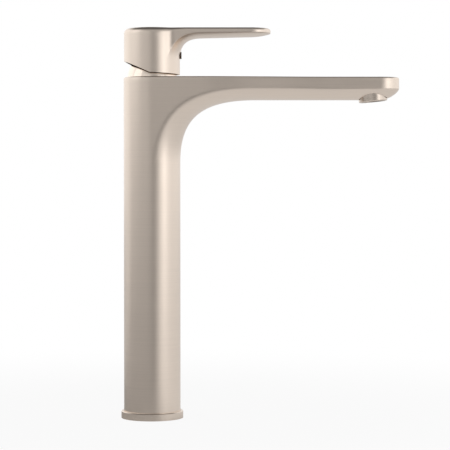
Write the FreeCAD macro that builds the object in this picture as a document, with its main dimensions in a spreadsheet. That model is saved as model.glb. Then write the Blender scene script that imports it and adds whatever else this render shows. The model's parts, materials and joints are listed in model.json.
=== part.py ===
import FreeCAD, Part
import math
import os
import re

import Sketcher
from FreeCAD import Matrix, Placement, Rotation, Vector

# Tall single-lever basin mixer.
# Frame: +Z up, +X towards the spout's end, origin on the column's axis at the deck.
# All sizes are in millimetres and degrees.

DRIVING = {
    # column
    "seat_wall": 3.5,
    "column_wall": 3.0,
    "column_foot_z": 3.0,
    # spout: the underside leaves the column in a bend and then runs level
    "bend_rise": 50.4,
    "bend_low_pull": 35.0,
    "bend_end_x": 84.0,
    "bend_high_pull": 45.0,
    "spout_under_z": 258.4,
    "spout_height": 18.3,
    "spout_wall": 3.0,
    "narrow_from_x": 40.0,
    "narrow_to_x": 145.0,
    "tip_half_width": 14.8,
    "tip_start_x": 183.3,
    "tip_reach": 17.4,
    "crown_rise": 8.6,
    "under_edge_r": 2.9,
    "top_edge_r": 1.2,
    # waterway in the spout
    "duct_half_width": 8.0,
    "throat_height": 4.0,
    "throat_r": 7.5,
    # seat of the valve core in the column
    "ledge_depth": 48.7,
    "ledge_height": 6.0,
    "ledge_width": 5.5,
    # base ring and its seal
    "ring_width": 2.2,
    "ring_height": 5.8,
    "ring_edge": 0.5,
    "base_seal_inset": 2.8,
    "base_seal_d": 1.8,
    "ring_fit": 0.05,
    # mounting insert
    "insert_height": 12.0,
    "insert_web": 1.0,
    "insert_fit": 0.05,
    "stud_inset": 4.1,
    "stud_hole_r": 2.5,
    # valve core
    "core_fit": 0.1,
    "seat_depth": 22.7,
    "collar_height": 12.0,
    "collar_gap": 0.2,
    "collar_wall": 1.9,
    "inlet_x": 1.5,
    "inlet_spacing": 14.0,
    "inlet_socket_r": 4.5,
    "inlet_socket_depth": 11.0,
    "inlet_port_r": 2.6,
    "outlet_port_x": 8.5,
    "outlet_port_r": 3.0,
    "outlet_half_width": 3.6,
    "outlet_low_depth": 13.0,
    "outlet_high_depth": 4.5,
    "core_seal_d": 1.6,
    "core_seal_low_rise": 4.5,
    "core_seal_high_depth": 2.2,
    # cartridge
    "housing_r": 17.4,
    "housing_wall": 1.4,
    "housing_roof": 1.5,
    "neck_step": 3.9,
    "neck_wall": 1.9,
    "neck_height": 8.5,
    "base_flange_height": 2.0,
    "base_height": 6.0,
    "part_gap": 0.15,
    "port_seal_wall": 1.2,
    "port_seal_height": 1.2,
    "seal_gap": 0.04,
    "disc_gap": 1.5,
    "disc_height": 4.0,
    "slide_room": 2.5,
    "slide_rim": 2.2,
    "mix_pocket_front_x": 0.7,
    "mix_pocket_depth": 2.0,
    "carrier_wall": 1.0,
    "carrier_height": 4.4,
    "carrier_rim": 1.0,
    # stem and its pivot
    "arm_length": 10.0,
    "ball_rise": 3.0,
    "ball_r": 2.6,
    "ball_fit": 0.2,
    "arm_r": 2.1,
    "stem_width": 8.0,
    "stem_square_drop": 4.0,
    "stem_height": 21.0,
    "pin_r": 1.5,
    "pin_fit": 0.05,
    "lift_angle": 24.0,
    # swivel rotor
    "rotor_fit": 0.1,
    "rotor_flange_gap": 0.5,
    "rotor_gap": 0.5,
    "rotor_roof_gap": 0.1,
    "rotor_flange_height": 1.5,
    "rotor_rise": 3.0,
    "rotor_slot_back": 6.4,
    "rotor_slot_front": 7.0,
    "rotor_slot_width": 8.4,
    # nut, slip ring and dome
    "slip_ring_height": 0.8,
    "slip_ring_fit": 0.2,
    "nut_fit": 0.1,
    "nut_sink": 0.3,
    "nut_skirt_fit": 0.1,
    "nut_skirt_gap": 0.5,
    "nut_web_height": 3.0,
    "nut_hole_gap": 0.3,
    "nut_head_gap": 0.7,
    "nut_flats_depth": 2.3,
    "dome_inset": 2.8,
    "dome_sink": 1.3,
    "dome_wall": 1.2,
    "dome_mouth_gap": 0.8,
    # handle
    "hub_clearance": 0.7,
    "hub_wall": 1.8,
    "hub_height": 36.1,
    "hub_roof": 4.2,
    "hub_rim_r": 4.0,
    "hub_corner_x": 1.1,
    "hub_gap": 3.4,
    "hub_front_slope": 2.4,
    "hub_back_slope": 24.4,
    "boss_r": 7.5,
    "boss_gap": 6.5,
    "stem_fit": 0.1,
    "stem_top_fit": 0.3,
    "lever_end_x": 96.3,
    "lever_half_width": 17.0,
    "lever_root_depth": 7.6,
    "lever_tip_depth": 6.6,
    "lever_bend_depth": 25.2,
    "lever_bend_end_x": 40.0,
    "lever_low_pull": 12.5,
    "lever_high_pull": 12.0,
    "lever_root_rise": 3.2,
    "lever_tip_rise": 2.3,
    "lever_under_edge_r": 0.9,
    "lever_top_edge_r": 2.0,
    # grub screw and index plug
    "screw_rise": 3.7,
    "screw_r": 2.5,
    "screw_length": 6.0,
    "screw_hex_width": 2.5,
    "screw_hex_depth": 2.5,
    "screw_fit": 0.05,
    "screw_boss_r": 4.0,
    "plug_r": 2.9,
    "plug_fit": 0.05,
    "plug_length": 5.0,
    "plug_proud": 1.3,
    # aerator
    "aerator_setback": 3.6,
    "aerator_drop": 1.3,
    "aerator_tilt": 5.5,
    "aerator_r": 11.6,
    "aerator_gap": 0.5,
    "aerator_height": 9.5,
    "aerator_lip": 0.8,
    "aerator_wall": 1.5,
    "aerator_lip_width": 0.6,
    "aerator_chamfer": 0.8,
    "aerator_thread_z": 3.0,
    "aerator_thread_fit": 0.1,
    "aerator_insert_height": 4.2,
    "aerator_insert_fit": 0.05,
    "aerator_hole_r": 1.45,
    "aerator_insert_rim": 1.2,
    "screen_height": 1.2,
    "screen_hole_r": 0.9,
    "screen_ring_r": 6.4,
    "washer_height": 1.5,
    "washer_hole_r": 8.2,
    "washer_fit": 0.2,
}

# radii and places that follow from the driving sizes
DERIVED = {
    # radii from the cartridge outwards
    "collar_bore_r": "housing_r + collar_gap",
    "valve_bore_r": "collar_bore_r + collar_wall",
    "column_r": "valve_bore_r + seat_wall",
    "ledge_hole_r": "valve_bore_r - ledge_width",
    "ring_r": "column_r + ring_width",
    "base_seal_r": "ring_r - base_seal_inset",
    "stud_x": "column_r - column_wall - stud_inset",
    "insert_hole_r": "stud_x - stud_hole_r - insert_web",
    "dome_r": "column_r - dome_inset",
    "hub_r": "dome_r + hub_clearance + hub_wall",
    # radii in the cartridge and its nut
    "neck_r": "housing_r - neck_step",
    "rotor_r": "neck_r - neck_wall - rotor_fit",
    "rotor_flange_r": "housing_r - housing_wall - rotor_flange_gap",
    "fixed_disc_r": "housing_r - housing_wall - disc_gap",
    "moving_disc_r": "fixed_disc_r - slide_room",
    "mix_pocket_r": "moving_disc_r - slide_rim",
    "carrier_r": "moving_disc_r + carrier_wall",
    "nut_skirt_inner_r": "housing_r + nut_skirt_fit",
    "nut_hole_r": "neck_r + nut_hole_gap",
    "nut_head_r": "dome_r - dome_wall - nut_head_gap",
    "nut_flats_width": "2 * (nut_head_r - nut_flats_depth)",
    "dome_opening_r": "neck_r + dome_mouth_gap",
    # heights of the body and spout
    "body_top_z": "spout_under_z + spout_height",
    "bend_start_z": "spout_under_z - bend_rise",
    "aerator_x": "tip_start_x - aerator_setback",
    "aerator_foot_z": "spout_under_z - aerator_drop",
    "aerator_insert_r": "aerator_r - aerator_wall - aerator_insert_fit",
    "aerator_hole_pitch": "(aerator_insert_r - aerator_hole_r - aerator_insert_rim) / 2",
    # valve core, then the cartridge from its seat upwards
    "ledge_z": "body_top_z - ledge_depth",
    "seat_z": "body_top_z - seat_depth",
    "outlet_low_z": "seat_z - outlet_low_depth",
    "outlet_high_z": "seat_z - outlet_high_depth",
    "core_seal_low_z": "ledge_z + core_seal_low_rise",
    "core_seal_high_z": "seat_z - core_seal_high_depth",
    "carrier_foot_z": "seat_z + base_height + 2 * disc_height",
    "ball_z": "carrier_foot_z + ball_rise",
    "pivot_z": "ball_z + arm_length",
    "rotor_foot_z": "carrier_foot_z + carrier_height + rotor_gap",
    "rotor_top_z": "pivot_z + rotor_rise",
    "housing_top_z": "rotor_foot_z + rotor_flange_height + rotor_roof_gap + housing_roof",
    "neck_top_z": "housing_top_z + neck_height",
    "stem_square_z": "pivot_z - stem_square_drop",
    "stem_top_z": "pivot_z + stem_height",
    "nut_skirt_foot_z": "seat_z + collar_height + nut_skirt_gap",
    "dome_centre_z": "body_top_z - dome_sink",
    # handle
    "hub_corner_z": "body_top_z + hub_gap",
    "hub_top_z": "hub_corner_z + hub_height",
    "lever_root_z": "hub_top_z - lever_root_depth",
    "lever_tip_z": "hub_top_z - lever_tip_depth",
    "lever_bend_start_z": "hub_top_z - lever_bend_depth",
    "boss_foot_z": "neck_top_z + boss_gap",
    "screw_z": "boss_foot_z + screw_rise",
}


def in_sheet(text):
    """An expression in which each alias is read from its sheet."""

    def read(word):
        alias = word.group(0)
        return ("Derived." if alias in DERIVED else "Sizes.") + alias

    return re.sub(r"\b[a-z]+_\w+\b", read, text)


doc = FreeCAD.newDocument("BasinMixer")
sheet = doc.addObject("Spreadsheet::Sheet", "Sizes")
for row, (alias, value) in enumerate(DRIVING.items(), start=1):
    sheet.set(f"A{row}", alias)
    sheet.set(f"B{row}", str(value))
    sheet.setAlias(f"B{row}", alias)
derived_sheet = doc.addObject("Spreadsheet::Sheet", "Derived")
for row, alias in enumerate(DERIVED, start=1):
    derived_sheet.set(f"A{row}", alias)
    derived_sheet.setAlias(f"B{row}", alias)
for row, text in enumerate(DERIVED.values(), start=1):
    derived_sheet.set(f"B{row}", "=" + in_sheet(text).replace("Derived.", ""))
doc.recompute()


class Sizes:
    """Both sheets' values under their aliases."""

    def __getattr__(self, alias):
        return float((derived_sheet if alias in DERIVED else sheet).get(alias))


size = Sizes()
sub_parts = []


# ---------------------------------------------------------------- helpers


def new_body(name):
    body = doc.addObject("PartDesign::Body", name)
    body.Label = name
    sub_parts.append(body)
    return body


def new_sketch(body, name, plane, height="0"):
    """A sketch on one of the body's origin planes, raised by height along the plane's normal."""
    support = next(item for item in body.Origin.OriginFeatures if item.Role == plane)
    sketch = body.newObject("Sketcher::SketchObject", name)
    sketch.AttachmentSupport = [(support, "")]
    sketch.MapMode = "FlatFace"
    sketch.setExpression("AttachmentOffset.Base.z", in_sheet(height))
    return sketch


def fix_point(sketch, element, end, across, along):
    """Ties a point of the sketch to two expressions."""
    for kind, axis, text in (("DistanceX", -2, across), ("DistanceY", -1, along)):
        if text == "0":
            sketch.addConstraint(Sketcher.Constraint("PointOnObject", element, end, axis))
            continue
        index = sketch.addConstraint(Sketcher.Constraint(kind, element, end, 1.0))
        sketch.setExpression(f"Constraints[{index}]", in_sheet(text))


def draw_outline(sketch, corners):
    """A closed outline of straight lines through corners, each a pair of expressions."""
    first = sketch.GeometryCount
    count = len(corners)
    ring = [Vector(math.cos(i * math.tau / count), math.sin(i * math.tau / count), 0) for i in range(count)]
    for i in range(count):
        sketch.addGeometry(Part.LineSegment(ring[i], ring[(i + 1) % count]), False)
    for i in range(count):
        link = Sketcher.Constraint("Coincident", first + i, 2, first + (i + 1) % count, 1)
        sketch.addConstraint(link)
    for i, (across, along) in enumerate(corners):
        fix_point(sketch, first + i, 1, across, along)


def draw_circle(sketch, across, along, radius):
    element = sketch.addGeometry(Part.Circle(Vector(1, 1, 0), Vector(0, 0, 1), 1.0), False)
    fix_point(sketch, element, 3, across, along)
    index = sketch.addConstraint(Sketcher.Constraint("Radius", element, 1.0))
    sketch.setExpression(f"Constraints[{index}]", in_sheet(radius))


def turn(body, sketch, feature="PartDesign::Revolution"):
    """Turns the sketch's outline round the sketch's upright axis, to add or to cut."""
    turned = body.newObject(feature, sketch.Name + "_turned")
    turned.Profile = sketch
    turned.ReferenceAxis = (sketch, ["V_Axis"])
    turned.Angle = 360.0
    sketch.Visibility = False
    return turned


def turned_body(name, corners):
    """A turned piece from its half outline, in pairs of radius and height."""
    body = new_body(name)
    sketch = new_sketch(body, name + "_outline", "XZ_Plane")
    draw_outline(sketch, corners)
    turn(body, sketch)
    return body


def torus_body(name, rings):
    """Round seals: each ring has a major radius, a section diameter and a centre height."""
    body = new_body(name)
    for number, (major, section, height) in enumerate(rings):
        sketch = new_sketch(body, f"{name}_section_{number}", "XZ_Plane")
        draw_circle(sketch, major, height, f"({section}) / 2")
        turn(body, sketch)
    return body


def extrude(body, sketch, feature, length, reverse=False):
    """Pads or pockets the sketch by a length."""
    step = body.newObject(feature, sketch.Name + "_step")
    step.Profile = sketch
    step.Type = 0
    step.setExpression("Length", in_sheet(length))
    step.Reversed = reverse
    sketch.Visibility = False
    return step


def round_holes(body, name, holes, top, depth):
    """Round holes cut downwards from a height, each a centre and a radius."""
    sketch = new_sketch(body, name, "XY_Plane", top)
    for across, along, radius in holes:
        draw_circle(sketch, across, along, radius)
    return extrude(body, sketch, "PartDesign::Pocket", depth)


def loose_shape(name, shape):
    """A sub-part whose shape comes from the curves below."""
    item = doc.addObject("Part::Feature", name)
    item.Label = name
    item.Shape = shape
    item.Placement = Placement()
    sub_parts.append(item)
    return item


# ---------------------------------------------------------------- curved arms
# The spout and the lever are alike: an underside curve leaves a round wall upright and runs out
# level, and the cross-sections stand square to it, with a crowned underside between flat sides.


# where a fully round section is split into its crown and its edges
FULL_ROUND_LEAN = 80
# faces closer than this are one face where pieces of a casting are joined
SEAM = 0.01


def bezier(points, share):
    """A point of a cubic curve and its direction."""
    a, b, c, d = points
    rest = 1 - share
    place = a * rest**3 + b * (3 * rest**2 * share) + c * (3 * rest * share**2) + d * share**3
    course = (b - a) * rest**2 + (c - b) * (2 * rest * share) + (d - c) * share**2
    return place, course.normalize()


def crown_radius(half_width, rise):
    """Radius of the arc that spans the full width and rises by rise at its ends."""
    return (half_width**2 + rise**2) / (2 * rise)


def half_section(half_width, top_half_width, rise, edge_r, height):
    """Right half of a cross-section, from the crown's lowest point to the top, as (Y, up) points."""
    crown_r = crown_radius(half_width, rise)
    reach = half_width - edge_r
    if crown_r - edge_r < 1e-6:
        lean = math.radians(FULL_ROUND_LEAN)
        edge_centre = Vector(0, crown_r, 0)
    else:
        lean = math.asin(reach / (crown_r - edge_r))
        edge_centre = Vector(reach, crown_r - math.sqrt((crown_r - edge_r) ** 2 - reach**2), 0)
    crown_middle = Vector(crown_r * math.sin(lean / 2), crown_r * (1 - math.cos(lean / 2)), 0)
    crown_end = Vector(crown_r * math.sin(lean), crown_r * (1 - math.cos(lean)), 0)
    bisector = (math.pi / 2 + lean) / 2
    edge_middle = edge_centre + Vector(math.sin(bisector), -math.cos(bisector), 0) * edge_r
    edge_end = edge_centre + Vector(edge_r, 0, 0)
    return crown_middle, crown_end, edge_middle, edge_end, Vector(top_half_width, height, 0)


def section_wire(foot, up, points):
    """The whole cross-section with its lowest point at foot."""
    across = Vector(0, 1, 0)

    def place(point, side):
        return foot + across * (side * point.x) + up * point.y

    crown_end, edge_middle, edge_end, top = points[1:]
    edges = [Part.Arc(place(crown_end, -1), foot, place(crown_end, 1)).toShape()]
    edges.append(Part.Arc(place(crown_end, 1), place(edge_middle, 1), place(edge_end, 1)).toShape())
    edges.append(Part.LineSegment(place(edge_end, 1), place(top, 1)).toShape())
    edges.append(Part.LineSegment(place(top, 1), place(top, -1)).toShape())
    edges.append(Part.LineSegment(place(top, -1), place(edge_end, -1)).toShape())
    edges.append(Part.Arc(place(edge_end, -1), place(edge_middle, -1), place(crown_end, -1)).toShape())
    return Part.Wire(edges)


def round_end(foot, points, reach):
    """The arm's rounded end: its last section turned half round and drawn out to reach."""
    crown_middle, crown_end, edge_middle, edge_end, top = [
        Vector(foot.x, point.x, foot.z + point.y) for point in points
    ]
    top_middle = Vector(foot.x, 0, top.z)
    edges = [Part.Arc(foot, crown_middle, crown_end).toShape()]
    edges.append(Part.Arc(crown_end, edge_middle, edge_end).toShape())
    edges.append(Part.LineSegment(edge_end, top).toShape())
    edges.append(Part.LineSegment(top, top_middle).toShape())
    edges.append(Part.LineSegment(top_middle, foot).toShape())
    turned = Part.Face(Part.Wire(edges)).revolve(foot, Vector(0, 0, 1), -180)
    stretch = reach / top.y
    return turned.transformGeometry(
        Matrix(stretch, 0, 0, foot.x * (1 - stretch), 0, 1, 0, 0, 0, 0, 1, 0, 0, 0, 0, 1)
    )


def edges_at_height(shape, height):
    """Edges that lie level at a height."""
    found = []
    for edge in shape.Edges:
        box = edge.BoundBox
        if abs(box.ZMin - height) < 1e-4 and abs(box.ZMax - height) < 1e-4:
            found.append(edge)
    return found


def smooth_step(value, start, end):
    share = min(max((value - start) / (end - start), 0), 1)
    return share * share * (3 - 2 * share)


# ---------------------------------------------------------------- body shell


def spout_curve():
    """Underside of the bend, from the column's front to the level part of the spout."""
    return (
        Vector(size.column_r, 0, size.bend_start_z),
        Vector(size.column_r, 0, size.bend_start_z + size.bend_low_pull),
        Vector(size.bend_end_x - size.bend_high_pull, 0, size.spout_under_z),
        Vector(size.bend_end_x, 0, size.spout_under_z),
    )


def spout_half_width(x):
    narrowing = smooth_step(x, size.narrow_from_x, size.narrow_to_x)
    return size.column_r + (size.tip_half_width - size.column_r) * narrowing


def spout_section(foot, course, share):
    """Section of the spout at a share of the bend; past the bend the share is 1."""
    up = Vector(-course.z, 0, course.x)
    leave_front = foot.x / max(-up.x, 1e-6)
    leave_top = (size.body_top_z - foot.z) / max(up.z, 1e-6)
    height = min(leave_front, leave_top) + size.spout_height
    top = foot + up * min(leave_front, leave_top)
    half_width = spout_half_width(foot.x)
    rise = size.crown_rise + (half_width - size.crown_rise) * (1 - share) ** 2
    edge_r = size.under_edge_r + (half_width - size.under_edge_r) * (1 - share) ** 2
    points = half_section(half_width, spout_half_width(top.x), rise, edge_r, height)
    return section_wire(foot, up, points)


def spout_solid():
    """The spout from the column's axis to its rounded end."""
    curve = spout_curve()
    bend_steps = 8
    level_steps = 5
    lead_in = curve[0] - Vector(0, 0, size.column_r / 4)
    wires = [spout_section(lead_in, Vector(0, 0, 1), 0)]
    for step in range(bend_steps + 1):
        share = step / bend_steps
        foot, course = bezier(curve, share)
        wires.append(spout_section(foot, course, share))
    for step in range(1, level_steps + 1):
        x = size.bend_end_x + (size.tip_start_x - size.bend_end_x) * step / level_steps
        wires.append(spout_section(Vector(x, 0, size.spout_under_z), Vector(1, 0, 0), 1))
    loft = Part.makeLoft(wires, True, False)
    trim = Part.makeBox(
        size.tip_start_x + size.column_r,
        4 * size.column_r,
        size.body_top_z,
        Vector(0, -2 * size.column_r, 0),
    )
    end_points = half_section(
        spout_half_width(size.tip_start_x),
        spout_half_width(size.tip_start_x),
        size.crown_rise,
        size.under_edge_r,
        size.spout_height,
    )
    foot = Vector(size.tip_start_x, 0, size.spout_under_z)
    return loft.common(trim), round_end(foot, end_points, size.tip_reach)


def column_solid():
    """The full column below the bend and its rear half beside it."""
    foot = size.column_foot_z
    full_top = size.bend_start_z - size.column_r / 4
    full = Part.makeCylinder(size.column_r, full_top - foot, Vector(0, 0, foot))
    rear = Part.makeCylinder(
        size.column_r,
        size.body_top_z - full_top,
        Vector(0, 0, full_top),
        Vector(0, 0, 1),
        180,
    )
    rear.rotate(Vector(0, 0, 0), Vector(0, 0, 1), 90)
    return full, rear


def duct_solid():
    """The waterway from the valve's window to the throat over the aerator."""
    curve = spout_curve()
    entry_x = size.valve_bore_r - 2
    crown_r = crown_radius(size.tip_half_width, size.crown_rise)
    crown_lift = crown_r - math.sqrt(crown_r**2 - size.duct_half_width**2)
    floor_wall = size.spout_wall + crown_lift
    floor_z = size.spout_under_z + floor_wall
    roof_z = size.body_top_z - size.spout_wall
    end_x = size.aerator_x - size.aerator_r - size.spout_wall
    low = []
    for share in (0.36, 0.46, 0.56, 0.68, 0.82, 1.0):
        place, course = bezier(curve, share)
        low.append(place + Vector(-course.z, 0, course.x) * floor_wall)
    low_curve = Part.BSplineCurve()
    low_curve.interpolate(low)
    entry_low = Vector(entry_x, 0, size.outlet_low_z - 2)
    corners = [
        low[-1],
        Vector(end_x, 0, floor_z),
        Vector(end_x, 0, roof_z - size.throat_height),
        Vector(size.aerator_x + size.throat_r, 0, roof_z - size.throat_height),
        Vector(size.aerator_x + size.throat_r, 0, roof_z),
        Vector(size.bend_end_x - size.bend_high_pull + size.spout_wall, 0, roof_z),
        Vector(entry_x, 0, size.outlet_high_z),
        entry_low,
        low[0],
    ]
    edges = [low_curve.toShape()]
    for start, end in zip(corners, corners[1:]):
        edges.append(Part.LineSegment(start, end).toShape())
    face = Part.Face(Part.Wire(edges))
    face.translate(Vector(0, -size.duct_half_width, 0))
    return face.extrude(Vector(0, 2 * size.duct_half_width, 0))


def aerator_placement():
    """Centre of the aerator's foot, with the axis leaning so that the water leaves a little forward."""
    return Placement(
        Vector(size.aerator_x, 0, size.aerator_foot_z),
        Rotation(Vector(0, 1, 0), -size.aerator_tilt),
    )


def aerator_pocket():
    """Pocket for the aerator and the throat above it."""
    pocket_top = size.aerator_height + size.washer_height
    pocket = Part.makeCylinder(size.aerator_r + size.aerator_gap, 2 * pocket_top, Vector(0, 0, -pocket_top))
    throat_top = size.body_top_z - size.spout_wall - size.aerator_foot_z
    throat = Part.makeCylinder(size.throat_r, throat_top - 1)
    cutter = pocket.fuse(throat)
    cutter.Placement = aerator_placement()
    return cutter


def make_body_shell():
    spout, tip = spout_solid()
    full, rear = column_solid()
    shell = full.fuse([rear, spout, tip], SEAM).removeSplitter()
    shell = shell.makeFillet(size.top_edge_r, edges_at_height(shell, size.body_top_z))
    bore_r = size.column_r - size.column_wall
    ledge_foot = size.ledge_z - size.ledge_height
    foot = size.column_foot_z
    shell = shell.cut(Part.makeCylinder(bore_r, ledge_foot - foot, Vector(0, 0, foot)))
    shell = shell.cut(Part.makeCylinder(size.ledge_hole_r, size.ledge_height, Vector(0, 0, ledge_foot)))
    seat = Part.makeCylinder(size.valve_bore_r, size.body_top_z - size.ledge_z, Vector(0, 0, size.ledge_z))
    shell = shell.cut([seat, duct_solid(), aerator_pocket()])
    return loose_shape("body_shell", shell)


# ---------------------------------------------------------------- lever handle


def lever_curve():
    """Underside of the lever's bend, from the hub's front to the lever's root."""
    slope = (size.lever_tip_z - size.lever_root_z) / (size.lever_end_x - size.lever_bend_end_x)
    return (
        Vector(size.hub_r, 0, size.lever_bend_start_z),
        Vector(size.hub_r, 0, size.lever_bend_start_z + size.lever_low_pull),
        Vector(
            size.lever_bend_end_x - size.lever_high_pull,
            0,
            size.lever_root_z - slope * size.lever_high_pull,
        ),
        Vector(size.lever_bend_end_x, 0, size.lever_root_z),
    )


def lever_section(foot, course, rise):
    up = Vector(-course.z, 0, course.x)
    leave_axis = foot.x / max(-up.x, 1e-6)
    leave_top = (size.hub_top_z - foot.z) / max(up.z, 1e-6)
    height = min(leave_axis, leave_top) + size.hub_roof
    width = size.lever_half_width
    return section_wire(foot, up, half_section(width, width, rise, size.lever_under_edge_r, height))


def lever_solid():
    """The paddle from the hub's axis to its rounded end."""
    curve = lever_curve()
    root_rise = size.hub_r - math.sqrt(size.hub_r**2 - size.lever_half_width**2)
    bend_steps = 7
    bend = []
    for step in range(bend_steps + 1):
        share = step / bend_steps
        foot, course = bezier(curve, share)
        rise = size.lever_root_rise + (root_rise - size.lever_root_rise) * (1 - share) ** 2
        bend.append(lever_section(foot, course, rise))
    nose_x = size.lever_end_x - size.lever_half_width
    nose_foot = Vector(nose_x, 0, size.lever_tip_z)
    level = [
        bend[-1],
        lever_section(nose_foot, Vector(1, 0, 0), size.lever_tip_rise),
    ]
    trim = Part.makeBox(
        size.lever_end_x,
        4 * size.hub_r,
        size.hub_top_z,
        Vector(0, -2 * size.hub_r, 0),
    )
    root = Part.makeLoft(bend, True, False).common(trim)
    blade = Part.makeLoft(level, True, True).common(trim)
    width = size.lever_half_width
    nose_points = half_section(
        width, width, size.lever_tip_rise, size.lever_under_edge_r, size.hub_top_z - size.lever_tip_z
    )
    nose = round_end(nose_foot, nose_points, width)
    lever = root.fuse([blade, nose], SEAM).removeSplitter()
    outer = [edge for edge in edges_at_height(lever, size.hub_top_z) if edge.BoundBox.XMax > 1]
    return lever.makeFillet(size.lever_top_edge_r, outer)


def make_lever_handle():
    hub_r = size.hub_r
    foot = size.hub_corner_z - hub_r * math.tan(math.radians(size.hub_front_slope)) - 1
    hub = Part.makeCylinder(hub_r, size.hub_top_z - foot, Vector(0, 0, foot))
    hub = hub.makeFillet(size.hub_rim_r, edges_at_height(hub, size.hub_top_z))
    outer = hub.fuse([lever_solid()], SEAM).removeSplitter()
    bore_r = hub_r - size.hub_wall
    ceiling = size.hub_top_z - size.hub_roof
    hollow = Part.makeCylinder(bore_r, ceiling - foot, Vector(0, 0, foot))
    boss = Part.makeCylinder(size.boss_r, ceiling - size.boss_foot_z, Vector(0, 0, size.boss_foot_z))
    boss_start = Vector((size.boss_r + size.stem_width / 2) / 2, 0, size.screw_z)
    screw_boss = Part.makeCylinder(size.screw_boss_r, bore_r, boss_start, Vector(1, 0, 0))
    handle = outer.cut(hollow.cut([boss, screw_boss]))
    side = size.stem_width + 2 * size.stem_fit
    socket_height = size.stem_top_z + size.stem_top_fit - size.boss_foot_z
    socket = Part.makeBox(side, side, socket_height, Vector(-side / 2, -side / 2, size.boss_foot_z))
    screw_hole = Part.makeCylinder(
        size.screw_r + size.screw_fit, hub_r, Vector(0, 0, size.screw_z), Vector(1, 0, 0)
    )
    plug_hole = Part.makeCylinder(
        size.plug_r + size.plug_fit,
        size.hub_r,
        Vector(plug_foot_x(), 0, size.screw_z),
        Vector(1, 0, 0),
    )
    return loose_shape("lever_handle", handle.cut([socket, screw_hole, plug_hole, rim_cutter()]))


def rim_cutter():
    """What lies below the hub's rim, which slopes gently at the front and steeply at the back."""
    far = 2 * size.hub_r
    front_drop = (far + size.hub_corner_x) * math.tan(math.radians(size.hub_front_slope))
    back_climb = (far - size.hub_corner_x) * math.tan(math.radians(size.hub_back_slope))
    low = size.hub_corner_z - 2 * far
    corners = [
        Vector(-size.hub_corner_x, -far, size.hub_corner_z),
        Vector(far, -far, size.hub_corner_z - front_drop),
        Vector(far, -far, low),
        Vector(-far, -far, low),
        Vector(-far, -far, size.hub_corner_z + back_climb),
    ]
    face = Part.Face(Part.makePolygon(corners + corners[:1]))
    return face.extrude(Vector(0, 2 * far, 0))


def plug_foot_x():
    """Inner end of the index plug."""
    return size.hub_r + size.plug_proud - size.plug_length


# ---------------------------------------------------------------- foot of the column


def make_base_ring():
    """Ring round the foot; the column stands on its inner ledge, and a groove below holds the seal."""
    inner = "column_r - column_wall + ring_fit"
    turned_body(
        "base_ring",
        [
            (inner, "0"),
            ("base_seal_r - base_seal_d / 2", "0"),
            ("base_seal_r - base_seal_d / 2", "base_seal_d"),
            ("base_seal_r + base_seal_d / 2", "base_seal_d"),
            ("base_seal_r + base_seal_d / 2", "0"),
            ("ring_r", "0"),
            ("ring_r", "ring_height - ring_edge"),
            ("ring_r - ring_edge", "ring_height"),
            ("column_r + ring_fit", "ring_height"),
            ("column_r + ring_fit", "column_foot_z"),
            (inner, "column_foot_z"),
        ],
    )


def make_mounting_insert():
    """Threaded foot inside the column: hoses pass its middle and the two studs screw into it."""
    top = "insert_height"
    body = turned_body(
        "mounting_insert",
        [
            ("insert_hole_r", "0"),
            ("column_r - column_wall - insert_fit", "0"),
            ("column_r - column_wall - insert_fit", top),
            ("insert_hole_r", top),
        ],
    )
    studs = [("stud_x", "0", "stud_hole_r"), ("-stud_x", "0", "stud_hole_r")]
    round_holes(body, "stud_holes", studs, top, "insert_height")


# ---------------------------------------------------------------- valve core and cartridge


def make_valve_core():
    """Seat in the column: two hose sockets below, a cup for the cartridge above, a window forward."""
    outer = "valve_bore_r - core_fit"
    groove = "valve_bore_r - core_seal_d"
    corners = [("0", "ledge_z"), (outer, "ledge_z")]
    for height in ("core_seal_low_z", "core_seal_high_z"):
        corners += [
            (outer, f"{height} - core_seal_d / 2"),
            (groove, f"{height} - core_seal_d / 2"),
            (groove, f"{height} + core_seal_d / 2"),
            (outer, f"{height} + core_seal_d / 2"),
        ]
    rim = "seat_z + collar_height"
    corners += [
        (outer, rim),
        ("collar_bore_r", rim),
        ("collar_bore_r", "seat_z"),
        ("0", "seat_z"),
    ]
    body = turned_body("valve_core", corners)
    socket_top = "ledge_z + inlet_socket_depth"
    sides = ("inlet_spacing / 2", "-inlet_spacing / 2")
    sockets = [("inlet_x", side, "inlet_socket_r") for side in sides]
    round_holes(body, "inlet_sockets", sockets, socket_top, "inlet_socket_depth")
    passages = [("inlet_x", side, "inlet_port_r") for side in sides]
    round_holes(body, "inlet_passages", passages, "seat_z", f"seat_z - ({socket_top})")
    outlet = [("-outlet_port_x", "0", "outlet_port_r")]
    round_holes(body, "outlet_passage", outlet, "seat_z", "seat_z - outlet_low_z")
    window = new_sketch(body, "outlet_window", "XY_Plane", "outlet_high_z")
    back = "-outlet_port_x - outlet_port_r"
    draw_outline(
        window,
        [
            (back, "-outlet_half_width"),
            ("valve_bore_r", "-outlet_half_width"),
            ("valve_bore_r", "outlet_half_width"),
            (back, "outlet_half_width"),
        ],
    )
    extrude(body, window, "PartDesign::Pocket", "outlet_high_z - outlet_low_z")


def port_places():
    """Centres and radii of the two inlets and the outlet, seen from above."""
    return [
        ("inlet_x", "inlet_spacing / 2", "inlet_port_r"),
        ("inlet_x", "-inlet_spacing / 2", "inlet_port_r"),
        ("-outlet_port_x", "0", "outlet_port_r"),
    ]


def ring_at_port(name, heights, inner_gap, wall):
    """Flat seals round the three ports, between two heights."""
    body = new_body(name)
    low, high = heights
    for number, (across, along, radius) in enumerate(port_places()):
        sketch = new_sketch(body, f"{name}_{number}", "XY_Plane", low)
        draw_circle(sketch, across, along, f"{radius} + {inner_gap}")
        draw_circle(sketch, across, along, f"{radius} + {inner_gap} + {wall}")
        extrude(body, sketch, "PartDesign::Pad", f"({high}) - ({low})")


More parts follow.
